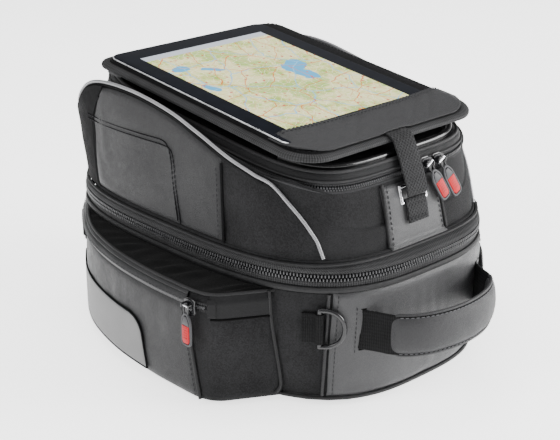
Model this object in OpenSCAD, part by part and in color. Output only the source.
// Expandable motorcycle tank bag with a tablet holder on its lid.
// +Y is the direction of travel, -Y faces the rider, the bag rests on z = 0.

/* [Lower body] */
// Half width of the body at the floor
floor_half_w = 128; // [120:1:132]
// Half length of the body at the floor
floor_half_l = 186; // [178:1:188]
// Half width of the body at the expansion zip
band_half_w = 134; // [132:1:138]
// Half length of the body at the expansion zip
band_half_l = 190; // [188:1:194]
// Roundness of the body in plan: 2 is an ellipse, larger is squarer
plan_power = 3; // [2.8:0.1:3.2]
// Thickness of the padded fabric walls
wall = 3.2; // [2.6:0.1:3.4]
// Thickness of the moulded bottom panel
panel_t = 8; // [7:0.5:9]

/* [Expansion zip] */
// Height of the seam under the expansion zip
band_z0 = 108; // [106:1:110]
// Height of the seam over the expansion zip
band_z1 = 131; // [130:1:133]
// Width of a zip tape and its teeth, inwards from the band
tape_depth = 5; // [4.5:0.1:5.5]
// How far the skirt inside the expansion zip hangs down
skirt_drop = 70; // [60:1:80]

/* [Upper body and lid] */
// Lean of the lid and the tablet holder, front end higher
tilt = 6.42; // [6:0.01:7]
// Height of the tablet's upper face at its middle
tablet_z = 240; // [239:0.5:242]
// Half width of the lid
lid_half_w = 108; // [104:1:109]
// Thickness of the lid
lid_t = 13; // [11:0.5:14]

/* [Tablet holder] */
// Half width of the holder
holder_half_w = 111; // [109:0.5:112]
// Rider end of the holder, measured along its slope
holder_rear = -147; // [-148:1:-145]
// Front end of the holder, measured along its slope
holder_front = 132; // [128:1:136]
// Width of the tablet
tablet_w = 185.7; // [180:0.1:190]
// Length of the tablet
tablet_l = 241.2; // [236:0.1:244]
// Thickness of the tablet
tablet_t = 9; // [7:0.1:9.4]
// Width of the closing strap
strap_w = 25; // [20:1:25]

/* [Side pockets] */
// Height of the pocket's top seam
pocket_top = 101; // [98:1:103]
// Height of the pocket's zip
pocket_zip_z = 92; // [86:1:92]
// Top of the reflective patch
patch_top = 54; // [45:1:60]

/* [Tank lock] */
// Radius of the recess that takes the ring on the fuel filler
lock_r = 42.5; // [38:0.5:45]
// Depth of that recess
lock_depth = 15; // [12:0.5:16]

/* [Carry handle and rings] */
// Width of the handle's webbing
handle_web = 36; // [30:1:38]
// Half length of the padded grip
grip_half = 57; // [50:1:58]
// Wire radius of the D-rings
wire_r = 2; // [1.8:0.1:2.2]

/* [Hidden] */
SIDES = 40;
EPS = 0.02;
tab_y = -7.5;
ct = cos(tilt);
st = sin(tilt);

fabric = [0.09, 0.09, 0.1];
leather = [0.24, 0.24, 0.26];
webbing = [0.06, 0.06, 0.065];
piping_grey = [0.45, 0.45, 0.46];
reflective = [0.55, 0.55, 0.55];
metal = [0.6, 0.6, 0.62];
black_metal = [0.12, 0.12, 0.13];
plastic = [0.08, 0.08, 0.085];
pull_red = [0.75, 0.07, 0.09];

// Heights of the upper body's crest, where its side turns over to the top: [y, z]
CREST = [[-180, 150], [-172, 152], [-152, 172], [-130, 190], [-104, 199], [-82, 205],
    [-47, 216], [-8, 226], [25, 232], [50, 235.8], [66, 237], [82, 237.5], [97, 236], [109, 232.4],
    [118, 227], [129, 217], [140, 207], [150, 198], [161, 188], [174, 178], [188, 172]];
// Rider end of the upper body at each height: [z, distance from the middle]
RIDER_FACE = [[131, 176], [151, 171], [165, 167.5], [174, 165], [187, 160.5], [240, 152]];
crest_lean = 0.105;
front_lean = 0.1;
// How fast the two front corners of the upper body grow squarer with height
corner_gain = 0.0034;

// The side pocket's outline in plan, left side, from the front to the rider
POCKET = [[-84, 178], [-112, 146], [-137, 110], [-153, 75], [-165, 28], [-170, -20],
    [-170.5, -55], [-169, -86], [-161, -102], [-144, -113], [-112, -131]];
pocket_wall = 2.6;
slit = 5.4;

handle_y = -186;
handle_reach = 46;
handle_pivot_y = -200;
handle_z = 72;

main_zip_y = -162;
main_zip_z = 189;
main_a_x = 21;
main_b_x = 36;
main_lean = 15;
main_skew = -24;
pocket_slider_y = -84;
pocket_slider_x = -172.8;
band_zip_z = 119.6;
exp_x = 116;
exp_y = -134.6;
exp_turn = 64.7;

ring_z = 75;
rider_ring = [101.8, -161.9];
rider_ring_turn = -132.2;
front_ring = [101.3, 164.9];
front_ring_turn = 131.2;
ring_bow_r = 16.5;
ring_leg = 4.5;
sleeve_h = 27;

strap_ring_y = -170.6;
strap_ring_z = 165;
strap_ring_lean = 16;
strap_wire = 1.5;

// ---- Geometry helpers ----

function signed_pow(v, p) = sign(v) * pow(abs(v), p);
function flip(list) = [for (i = [len(list) - 1:-1:0]) list[i]];
function unit(v) = v / norm(v);

// A squared ellipse in plan: half width, front and rider half lengths, front and rider power
function outline(a, front, rider, power_f = plan_power, power_r = plan_power) = [
    for (i = [0:SIDES - 1])
        let (t = 360 * i / SIDES, p = 2 / (sin(t) > 0 ? power_f : power_r))
        [a * signed_pow(cos(t), p), (sin(t) > 0 ? front : rider) * signed_pow(sin(t), p)]];

function lift(points, z) = [for (p = points) [p[0], p[1], z]];

// The lower body's outline at a height, grown outwards
function mix(a, b, f) = a + (b - a) * f;
function body_outline(z, grow = 0) =
    let (f = z / band_z0, b = mix(floor_half_l, band_half_l, f) + grow)
    outline(mix(floor_half_w, band_half_w, f) + grow, b, b);

// A point of the lid's sloping frame, whose plane w = 0 is the tablet's upper face
function slope_point(x, s, w) = [x, tab_y + s * ct - w * st, tablet_z + s * st + w * ct];

function upper_half_w(z) = 129 - (z - band_z1) * crest_lean;
function upper_front(z) = 186 - (z - band_z1) * front_lean;
function crest_z(y) = lookup(y, CREST);
function corner_push(p, z) =
    1 + (p[1] > 0 ? corner_gain * (z - band_z1) * pow(p[0] * p[1] / (129 * 186), 2) : 0);

// A ring of the upper body: part of the way from the band up to the crest
function upper_ring(part, grow = 0) =
    let (base = outline(129, 186, 176, 3, 3.6))
    [for (p = base)
        let (z = mix(band_z1, crest_z(p[1]), part), k = corner_push(p, z), long = p[1] > 0
            ? (upper_front(z) + grow) / 186 : (lookup(z, RIDER_FACE) + grow) / 176)
        [k * p[0] * (upper_half_w(z) + grow) / 129, k * p[1] * long, z]];

// The lid's outline, in the sloping frame, at a depth under the tablet's upper face
function lid_outline(grow) = outline(lid_half_w + grow, 163 + grow, 157 + grow, 3.6, 4.6);
function lid_ring(grow, w) = [for (p = lid_outline(grow)) slope_point(p[0], p[1], w)];

// The lip beside the lid: high along the two sides, flat at the front and the rider end
lip_h = 6;
function lip_ring(grow) = [for (p = lid_outline(1.6 + grow))
    let (f = min(1, max(0, (abs(p[0]) - 84) / 16)))
    slope_point(p[0] * (1 + 0.045 * f), p[1] * (1 + 0.01 * f), -35.3 + lip_h * f)];

// Closed solid through rings of equal length, bottom first, each ring anticlockwise from above
module loft(rings) {
    n = len(rings[0]);
    m = len(rings);
    polyhedron(points = [for (r = rings) each r], faces = concat(
        [[for (i = [0:n - 1]) i]],
        [[for (i = [n - 1:-1:0]) (m - 1) * n + i]],
        [for (k = [0:m - 2], i = [0:n - 1])
            let (j = (i + 1) % n)
            each [[k * n + i, (k + 1) * n + i, (k + 1) * n + j], [k * n + i, (k + 1) * n + j, k * n + j]]]));
}

// Round tube swept along an open route of points
module tube(route, r, sides = 8) {
    m = len(route);
    rings = [for (k = [0:m - 1])
        let (d = unit(route[min(k + 1, m - 1)] - route[max(k - 1, 0)]),
            u = unit(cross(d, [0.3, 0, 1])), v = cross(d, u))
        [for (i = [0:sides - 1]) route[k] + r * (cos(360 * i / sides) * u + sin(360 * i / sides) * v)]];
    loft(rings);
}

// Flat ring between two outlines
module band(outer, inner, z0, z1) {
    translate([0, 0, z0])
        linear_extrude(z1 - z0)
            difference() {
                polygon(outer);
                polygon(inner);
            }
}

// Points of an open route moved sideways, to its left when d is positive
function route_offset(pts, d) = [for (i = [0:len(pts) - 1])
    let (t = unit(pts[min(i + 1, len(pts) - 1)] - pts[max(i - 1, 0)]))
    pts[i] + d * [-t[1], t[0]]];

module ribbon(pts, d0, d1, z0, z1) {
    translate([0, 0, z0])
        linear_extrude(z1 - z0)
            polygon(concat(route_offset(pts, d0), flip(route_offset(pts, d1))));
}

module both_sides() {
    children();
    mirror([1, 0, 0])
        children();
}

// Moves children into the sloping frame of the lid
module on_slope() {
    translate([0, tab_y, tablet_z])
        rotate([tilt, 0, 0])
            children();
}

module box(low, high) {
    translate(low)
        cube(high - low);
}

module rounded_plate(low, high, r_rear, r_front, z0, z1) {
    translate([0, 0, z0])
        linear_extrude(z1 - z0)
            hull() {
                for (x = [low[0] + r_rear, high[0] - r_rear])
                    translate([x, low[1] + r_rear])
                        circle(r_rear, $fn = 32);
                for (x = [low[0] + r_front, high[0] - r_front])
                    translate([x, high[1] - r_front])
                        circle(r_front, $fn = 32);
            }
}

// ---- Bottom and lower body ----

module lower_outer(z0, z1, grow) {
    loft([lift(body_outline(z0, grow), z0), lift(body_outline(z1, grow), z1)]);
}

screw_pcd_r = 64;
screw_r = 2;
housing_r = 57.5;
flange_r = 70;
flange_t = 3;
housing_top = 18;
shell_z0 = panel_t + EPS;

module screw_places() {
    for (k = [0:5])
        rotate([0, 0, 60 * k])
            translate([screw_pcd_r, 0, 0])
                children();
}

module base_panel() {
    color(plastic)
        difference() {
            loft([lift(body_outline(0, -6), 0), lift(body_outline(0, -1), 3),
                lift(body_outline(0), panel_t)]);
            translate([0, 0, -1])
                cylinder(r = housing_r + 0.3, h = panel_t + 2, $fn = 96);
            screw_places() {
                translate([0, 0, -1])
                    cylinder(r = 4.4, h = 3.5, $fn = 32);
                cylinder(r = screw_r + 0.1, h = panel_t + 1, $fn = 32);
            }
        }
}

module base_piping() {
    color(plastic)
        band(body_outline(0, 2.6), body_outline(0, 0.9), panel_t - 2.4, panel_t + 2.2);
}

module base_stiffener() {
    color([0.3, 0.3, 0.32])
        difference() {
            band(body_outline(0, -14), outline(20, 20, 20, 2, 2), panel_t + flange_t + 0.3,
                panel_t + flange_t + 2.3);
            translate([0, 0, panel_t])
                cylinder(r = flange_r + 1, h = 10, $fn = 96);
            translate([-latch_w / 2 - 2, 0, panel_t])
                cube([latch_w + 4, 96, 10]);
        }
}

module lower_shell() {
    color(fabric)
        difference() {
            lower_outer(shell_z0, band_z0 - 2, 0);
            lower_outer(shell_z0 - 1, band_z0, -wall);
        }
}

module rider_panel() {
    color(leather)
        difference() {
            intersection() {
                lower_outer(12, band_z0 - 3, 1.2);
                box([-93, -220, 0], [93, -100, 120]);
            }
            lower_outer(4, band_z0 + 6, EPS);
        }
}

module band_piping_lower() {
    color(fabric)
        band(body_outline(band_z0, 1.6), body_outline(band_z0, -tape_depth), band_z0 - 1.9, band_z0 + 1.9);
}

module zip_tape_lower() {
    color(webbing)
        band(body_outline(band_z0, -1), body_outline(band_z0, -tape_depth), band_z0 + 1.9, band_z0 + 9.4);
}

module zip_coil_lower() {
    color(plastic)
        band(body_outline(band_z0, 0), body_outline(band_z0, -tape_depth), band_z0 + 9.4, band_z0 + 11.3);
}

// ---- Side pockets ----

module pocket_body(z0, z1, inset) {
    translate([0, 0, z0])
        linear_extrude(z1 - z0)
            polygon(concat(route_offset(POCKET, inset), [[-60, -60], [-60, 120]]));
}

module pocket() {
    color(fabric)
        difference() {
            pocket_body(4, pocket_top, 0);
            pocket_body(4 + pocket_wall, pocket_top - pocket_wall, pocket_wall);
            box([-190, -76, pocket_zip_z - slit / 2], [-150, 60, pocket_zip_z + slit / 2]);
            lower_outer(0, band_z0, 0.3);
            band(body_outline(0, 3), body_outline(0, -30), -1, panel_t + 2.6);
        }
}

module pocket_left() {
    pocket();
}

module pocket_right() {
    mirror([1, 0, 0])
        pocket();
}

module pocket_panels() {
    color(leather)
        both_sides()
            intersection() {
                ribbon(POCKET, -EPS, -1.2, 7, pocket_zip_z - 5);
                box([-190, -88, 0], [-100, 148, 120]);
            }
}

module pocket_patches() {
    color(reflective)
        both_sides()
            intersection() {
                ribbon(POCKET, -1.22, -1.9, 10, patch_top);
                box([-190, -16, 0], [-119, 150, 120]);
            }
}

module pocket_zips() {
    color(webbing)
        both_sides()
            intersection() {
                ribbon(POCKET, -EPS, -1, pocket_zip_z - 4.6, pocket_zip_z + 4.6);
                box([-190, -96, 0], [-120, 150, 120]);
            }
}

// ---- Carry handle ----

module handle_anchors() {
    color(webbing)
        both_sides()
            intersection() {
                band(body_outline(handle_z, 3.8), body_outline(handle_z, 1.9),
                    handle_z - handle_web / 2, handle_z + handle_web / 2);
                box([62, -220, 0], [82, -100, 140]);
            }
}

// The handle's bow in plan, thickened both ways
module handle_bow(thick, z0, z1) {
    translate([0, handle_y, z0])
        linear_extrude(z1 - z0)
            difference() {
                polygon(outline(66 + thick / 2, 1, handle_reach + thick / 2, 2, 2.4));
                polygon(outline(66 - thick / 2, 2, handle_reach - thick / 2, 2, 2.4));
                translate([-100, 0])
                    square([200, 50]);
            }
}

module handle_webbing() {
    color(webbing)
        intersection() {
            difference() {
                handle_bow(3, handle_z - handle_web / 2, handle_z + handle_web / 2);
                box([-grip_half, -260, 0], [grip_half, -150, 140]);
            }
            union() {
                box([-90, -260, 0], [90, handle_pivot_y, 140]);
                translate([-90, handle_pivot_y, handle_z])
                    rotate([0, 90, 0])
                        cylinder(r = 11, h = 180, $fn = 48);
            }
        }
}

module handle_grip() {
    color(leather)
        intersection() {
            handle_bow(8, handle_z - handle_web / 2 - 2, handle_z + handle_web / 2 + 2);
            box([-grip_half + EPS, -260, 0], [grip_half - EPS, -200, 140]);
        }
}

// ---- D-rings ----

module d_ring() {
    color(black_metal) {
        cylinder(r = wire_r, h = 2 * ring_bow_r, center = true, $fn = 32);
        for (z = [-ring_bow_r, ring_bow_r])
            translate([0, 0, z]) {
                sphere(wire_r, $fn = 32);
                rotate([0, 90, 0])
                    cylinder(r = wire_r, h = ring_leg, $fn = 24);
            }
        translate([ring_leg, 0, 0])
            rotate([90, 0, 0])
                rotate([0, 0, -90])
                    rotate_extrude(angle = 180, $fn = 64)
                        translate([ring_bow_r, 0])
                            circle(wire_r, $fn = 24);
    }
}

// A webbing tab round the D-ring's bar; side is 1 where its plate lies towards -Y
module ring_tab(side) {
    difference() {
        union() {
            cylinder(r = wire_r + 1.5, h = sleeve_h, center = true, $fn = 32);
            translate([-15, side > 0 ? -4.2 : 1.8, -sleeve_h / 2])
                cube([15, 2.4, sleeve_h]);
        }
        cylinder(r = wire_r + 0.08, h = sleeve_h + 2, center = true, $fn = 32);
    }
}

module at_rider_ring() {
    translate([rider_ring[0], rider_ring[1], ring_z])
        rotate([0, 0, rider_ring_turn])
            children();
}

module at_front_ring() {
    translate([front_ring[0], front_ring[1], ring_z])
        rotate([0, 0, front_ring_turn])
            children();
}

module ring_tabs() {
    color(webbing)
        both_sides() {
            at_rider_ring()
                ring_tab(1);
            at_front_ring()
                ring_tab(-1);
        }
}

module d_ring_rider_right() {
    at_rider_ring()
        d_ring();
}

module d_ring_rider_left() {
    mirror([1, 0, 0])
        d_ring_rider_right();
}

module d_ring_front_right() {
    at_front_ring()
        d_ring();
}

module d_ring_front_left() {
    mirror([1, 0, 0])
        d_ring_front_right();
}

// ---- Tank lock ----

latch_w = 16;
latch_rest = 44;

module lock_housing() {
    color(plastic)
        difference() {
            union() {
                cylinder(r = housing_r, h = housing_top, $fn = 96);
                translate([0, 0, panel_t + EPS])
                    cylinder(r = flange_r, h = flange_t - EPS, $fn = 96);
            }
            translate([0, 0, -1])
                cylinder(r = lock_r, h = lock_depth + 1, $fn = 96);
            screw_places()
                cylinder(r = screw_r + 0.1, h = 20, $fn = 32);
            translate([-latch_w / 2 - 0.3, 0, panel_t + flange_t + 0.4])
                cube([latch_w + 0.6, 80, 3.2]);
        }
}

module lock_screws() {
    color(metal)
        screw_places() {
            translate([0, 0, 1])
                cylinder(r = 4, h = 1.4, $fn = 32);
            translate([0, 0, 2])
                cylinder(r = screw_r, h = 11, $fn = 32);
            translate([0, 0, panel_t + flange_t])
                cylinder(r = 3.6, h = 2.6, $fn = 6);
        }
}

module lock_latch() {
    color(metal)
        box([-latch_w / 2, latch_rest, panel_t + flange_t + 0.7],
            [latch_w / 2, latch_rest + 36, panel_t + flange_t + 3.3]);
}

module release_pull() {
    color(pull_red)
        box([-latch_w / 2, latch_rest + 36 + EPS, panel_t + flange_t + 0.7],
            [latch_w / 2, latch_rest + 41, panel_t + flange_t + 12]);
}

// ---- Upper body ----

// Depth of the rim's seam, on which the lower half of the main zip stands
seam_w = -37.4;

module upper_outer(grow) {
    loft([
        upper_ring(0, grow),
        upper_ring(0.5, grow + 1.6),
        upper_ring(0.95, grow + 0.8),
        upper_ring(1, grow - 1),
        lip_ring(grow),
        lid_ring(0.7, seam_w - 0.05)]);
}

module upper_shell() {
    color(fabric)
        difference() {
            upper_outer(0);
            loft([
                [for (p = upper_ring(0, -wall)) [p[0], p[1], band_z1 - 1]],
                upper_ring(0.4, -wall),
                lid_ring(-5, -44),
                lid_ring(-5, -20)]);
        }
}

module expansion_skirt() {
    color(fabric)
        band(body_outline(band_z0, -tape_depth - 1.6), body_outline(band_z0, -tape_depth - 3.1),
            band_z1 - skirt_drop, band_z1 - 2.6);
}

module zip_tape_upper() {
    color(webbing)
        band(body_outline(band_z0, -2), body_outline(band_z0, -tape_depth - 1.6), band_z0 + 13.6,
            band_z1 - 3);
}

module zip_coil_upper() {
    color(plastic)
        band(body_outline(band_z0, -0.6), body_outline(band_z0, -tape_depth), band_z0 + 11.7,
            band_z0 + 13.6);
}

module band_piping_upper() {
    color(fabric)
        band(outline(132.4, 189, 181, 3, 3.4), outline(124.5, 181, 171, 3, 3.5), band_z1 - 2.6,
            band_z1 - EPS);
}

module side_panels() {
    color(leather)
        both_sides()
            difference() {
                intersection() {
                    upper_outer(1.2);
                    box([-190, -64, band_z1 + 3], [-100, 104, 205]);
                }
                upper_outer(EPS);
            }
}

crest_from = -110;
crest_to = 146;
crest_steps = 22;
// Where the piping leaves the crest and drops to the band, left side
PIPING_TAIL = [[-92.2, -158, 135.5], [-94.2, -153.1, 148.1], [-97.1, -148, 156.6],
    [-100.8, -141, 166.5], [-105.7, -129.9, 178.7], [-110.3, -116, 191.8]];
function crest_point(y) =
    let (z = crest_z(y), b = y > 0 ? 186 : lookup(z, RIDER_FACE), p = y > 0 ? 3 : 3.6,
        x = -129 * pow(max(0, 1 - pow(abs(y) / b, p)), 1 / p), k = corner_push([x, y], z))
    [k * x * upper_half_w(z) / 129, k * y * (y > 0 ? upper_front(z) / 186 : 1), z];

module side_pipings() {
    color(piping_grey)
        both_sides()
            tube(concat(PIPING_TAIL, [for (k = [0:crest_steps])
                crest_point(mix(crest_from, crest_to, k / crest_steps))]), 2, 6);
}

module rider_top_panel() {
    color(leather)
        difference() {
            intersection() {
                upper_outer(1);
                box([-36, -200, band_z1 + 3], [36, -120, 181]);
            }
            upper_outer(EPS);
        }
}

module main_zip_lower() {
    color(webbing)
        on_slope()
            band(lid_outline(0.5), lid_outline(-1.5), seam_w, -34.3);
}

strap_plate_t = 2.4;
strap_plate_h = 19;

module ring_strap() {
    color(webbing)
        difference() {
            union() {
                translate([strap_w / 2, strap_ring_y, strap_ring_z])
                    rotate([0, -90, 0])
                        cylinder(r = strap_wire + 1.5, h = strap_w, $fn = 32);
                translate([-strap_w / 2, strap_ring_y + 0.2, strap_ring_z])
                    rotate([-13, 0, 0])
                        translate([0, -0.8, -strap_plate_h])
                            cube([strap_w, strap_plate_t, strap_plate_h]);
            }
            translate([strap_w, strap_ring_y, strap_ring_z])
                rotate([0, -90, 0])
                    cylinder(r = strap_wire + 0.06, h = 2 * strap_w, $fn = 32);
        }
}

ring_in_w = 27;
ring_h = 14;

module bar_x(x0, x1) {
    translate([x0, 0, 0])
        rotate([0, 90, 0])
            cylinder(r = strap_wire, h = x1 - x0, $fn = 24);
}

module strap_ring() {
    half = ring_in_w / 2 + strap_wire;
    color(metal)
        translate([0, strap_ring_y, strap_ring_z])
            rotate([-strap_ring_lean, 0, 0]) {
                bar_x(-half, half);
                translate([0, 0, ring_h])
                    bar_x(-half, half);
                for (x = [-half, half]) {
                    translate([x, 0, 0])
                        cylinder(r = strap_wire, h = ring_h, $fn = 24);
                    for (z = [0, ring_h])
                        translate([x, 0, z])
                            sphere(strap_wire, $fn = 24);
                }
            }
}

// ---- Lid ----

lid_top = -34 + lid_t;

module lid_panel() {
    color(fabric)
        loft([lid_ring(-1, -34), lid_ring(0, -30), lid_ring(-2, -26), lid_ring(-5, lid_top)]);
}

module lid_pipings() {
    color(piping_grey)
        on_slope() {
            band(lid_outline(1.6), lid_outline(0.3), -31.6, -29);
            band(lid_outline(-2.6), lid_outline(-4.4), lid_top - 2.6, lid_top + 0.4);
        }
}

module main_zip_upper() {
    color(webbing)
        on_slope()
            band(lid_outline(1), lid_outline(-0.4), -34, -31.7);
}

hinge_s = 118;
hinge_x = 84;

module holder_hinges() {
    color(plastic)
        on_slope()
            both_sides()
                box([-hinge_x - 12, hinge_s - 8, lid_top + EPS], [-hinge_x + 12, hinge_s + 12, -16]);
}

// ---- Tablet holder ----

holder_z0 = -15.5;
holder_z1 = -6;
tablet_x = -10;
tablet_gap = 0.4;

module tablet_block(grow, z0, z1) {
    rounded_plate([tablet_x - tablet_w / 2 - grow, -tablet_l / 2 - grow],
        [tablet_x + tablet_w / 2 + grow, tablet_l / 2 + grow], 10 + grow, 10 + grow, z0, z1);
}

module holder_pad() {
    color(leather)
        on_slope()
            difference() {
                rounded_plate([-holder_half_w + 1.6, holder_rear + 1.6], [holder_half_w - 1.6,
                    holder_front - 1.6], 33, 18, holder_z0, holder_z1);
                tablet_block(tablet_gap, -tablet_t - tablet_gap, 5);
            }
}

module holder_zip() {
    color(webbing)
        on_slope()
            difference() {
                rounded_plate([-holder_half_w, holder_rear], [holder_half_w, holder_front], 34, 19,
                    holder_z0 + 2, holder_z1 - 2);
                rounded_plate([-holder_half_w + 1.62, holder_rear + 1.62], [holder_half_w - 1.62,
                    holder_front - 1.62], 33, 18, holder_z0, holder_z1);
            }
}

flap_far = -96;
flap_t = 2;

// The flap over the tablet's rider end: flat on the tablet, then down to the holder's rim
module holder_flap() {
    color(leather)
        on_slope()
            intersection() {
                rotate([90, 0, 90])
                    linear_extrude(2 * holder_half_w, center = true)
                        polygon([[flap_far, 0.4], [-122, 0.4], [holder_rear, holder_z1 + 0.3],
                            [holder_rear, holder_z1 + 0.4 + flap_t], [-123, 0.4 + flap_t],
                            [flap_far, 0.4 + flap_t]]);
                rounded_plate([-holder_half_w + 1, holder_rear], [holder_half_w - 1, 0], 33, 1, -20, 20);
                difference() {
                    box([-150, -200, -20], [150, 0, 20]);
                    translate([0, flap_far - 6 + 900, -30])
                        cylinder(r = 900, h = 60, $fn = 360);
                }
            }
}

module tablet_case() {
    color(metal)
        on_slope()
            tablet_block(0, -tablet_t, -1);
}

module tablet_screen() {
    color(plastic)
        on_slope()
            tablet_block(-0.8, -1 + EPS, 0);
}

// Route of the closing strap beside the bag's middle: [y, z]
STRAP = [[-154.6, 219.5], [-157.2, 213], [-164.5, 199.5], [-171.8, 181.5], [-174.6, 171]];

module closing_strap() {
    color(webbing)
        translate([-strap_w / 2, 0, 0])
            rotate([90, 0, 90])
                linear_extrude(strap_w)
                    polygon(concat(route_offset(STRAP, 1.1), flip(route_offset(STRAP, -1.1))));
}

// ---- Zip sliders and pulls: the zip runs along X, the outside is -Y ----

pin_r = 1;
pin_out = 6.2;
pin_z = 2;
lug_x = 3.5;
pull_l = 36;
short_pull_l = 19.5;

module slider() {
    color(black_metal)
        difference() {
            union() {
                box([-5.2, -3.6, -6], [5.2, -0.5, 6]);
                for (x = [-lug_x - 1.5, lug_x])
                    box([x, -pin_out - 1.8, pin_z - 2], [x + 1.5, -3.5, pin_z + 2]);
            }
            translate([-10, -pin_out, pin_z])
                rotate([0, 90, 0])
                    cylinder(r = pin_r + 0.06, h = 20, $fn = 32);
        }
}

// lean tips the pull outwards, skew turns it sideways
module pull(lean = 0, skew = 0, long = pull_l) {
    color(pull_red)
        translate([0, -pin_out, pin_z]) {
            translate([-lug_x - 1.5, 0, 0])
                rotate([0, 90, 0])
                    cylinder(r = pin_r, h = 2 * lug_x + 3, $fn = 32);
            rotate([-lean, skew, 0]) {
                rotate([90, 0, 0])
                    cylinder(r = 1.9, h = 2.6, center = true, $fn = 32);
                box([-1.5, -0.9, -10], [1.5, 0.9, 0]);
                box([-3.6, -1.1, -15], [3.6, 1.1, -8]);
                box([-6, -1.6, -long], [6, 1.6, -min(13, long - 8)]);
            }
        }
}

module at_main(x) {
    translate([x, main_zip_y, main_zip_z])
        children();
}

module at_pocket() {
    translate([pocket_slider_x, pocket_slider_y, pocket_zip_z])
        rotate([0, 0, -90])
            children();
}

module at_expansion() {
    translate([exp_x, exp_y, band_zip_z])
        rotate([0, 0, exp_turn])
            translate([0, -0.3, 0])
                children();
}

module main_slider_a() {
    at_main(main_a_x)
        slider();
}

module main_pull_a() {
    at_main(main_a_x)
        pull(main_lean, main_skew);
}

module main_slider_b() {
    at_main(main_b_x)
        slider();
}

module main_pull_b() {
    at_main(main_b_x)
        pull(main_lean, main_skew);
}

module pocket_slider_left() {
    at_pocket()
        slider();
}

module pocket_pull_left() {
    at_pocket()
        pull();
}

module pocket_slider_right() {
    mirror([1, 0, 0])
        pocket_slider_left();
}

module pocket_pull_right() {
    mirror([1, 0, 0])
        pocket_pull_left();
}

module expansion_slider() {
    at_expansion()
        slider();
}

module expansion_pull() {
    at_expansion()
        pull(0, 0, short_pull_l);
}

base_panel();
base_piping();
base_stiffener();
lower_shell();
rider_panel();
band_piping_lower();
zip_tape_lower();
zip_coil_lower();
pocket_left();
pocket_right();
pocket_panels();
pocket_patches();
pocket_zips();
handle_anchors();
ring_tabs();
lock_housing();
lock_screws();
lock_latch();
release_pull();
upper_shell();
expansion_skirt();
zip_tape_upper();
zip_coil_upper();
band_piping_upper();
side_panels();
side_pipings();
rider_top_panel();
main_zip_lower();
ring_strap();
strap_ring();
lid_panel();
lid_pipings();
main_zip_upper();
holder_hinges();
holder_pad();
holder_zip();
holder_flap();
tablet_case();
tablet_screen();
closing_strap();
main_slider_a();
main_pull_a();
main_slider_b();
main_pull_b();
pocket_slider_left();
pocket_pull_left();
pocket_slider_right();
pocket_pull_right();
expansion_slider();
expansion_pull();
handle_webbing();
handle_grip();
d_ring_rider_left();
d_ring_rider_right();
d_ring_front_left();
d_ring_front_right();
